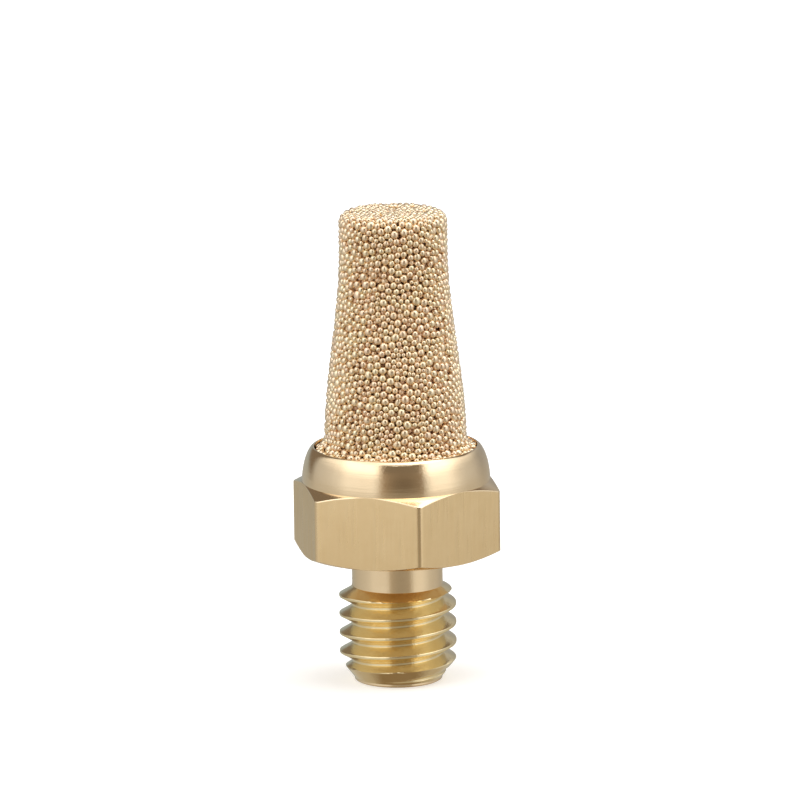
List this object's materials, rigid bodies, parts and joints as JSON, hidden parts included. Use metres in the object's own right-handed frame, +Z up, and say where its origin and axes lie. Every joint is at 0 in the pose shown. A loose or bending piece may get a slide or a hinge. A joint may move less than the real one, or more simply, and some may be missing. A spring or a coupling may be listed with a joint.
{
  "type": "pneumatic muffler",
  "caption": "Screw-in exhaust silencer for compressed air: a turned brass body with a hexagon and a male thread, holding a tapered cup of sintered bronze beads.",
  "frame": {"origin": "centre of the thread's flat end face", "axes": "+Z up the muffler's axis, from the thread's end to the element's blunt top; two of the hexagon's flats face +Y and -Y"},
  "size_m": [0.0092, 0.0078, 0.02],
  "materials": {
    "turned_brass": "turned satin",
    "sintered_bronze": "sintered beads"
  },
  "bodies": {
    "root": {"threaded_body": "turned_brass", "sintered_element": "sintered_bronze"}
  },
  "joints": []
}
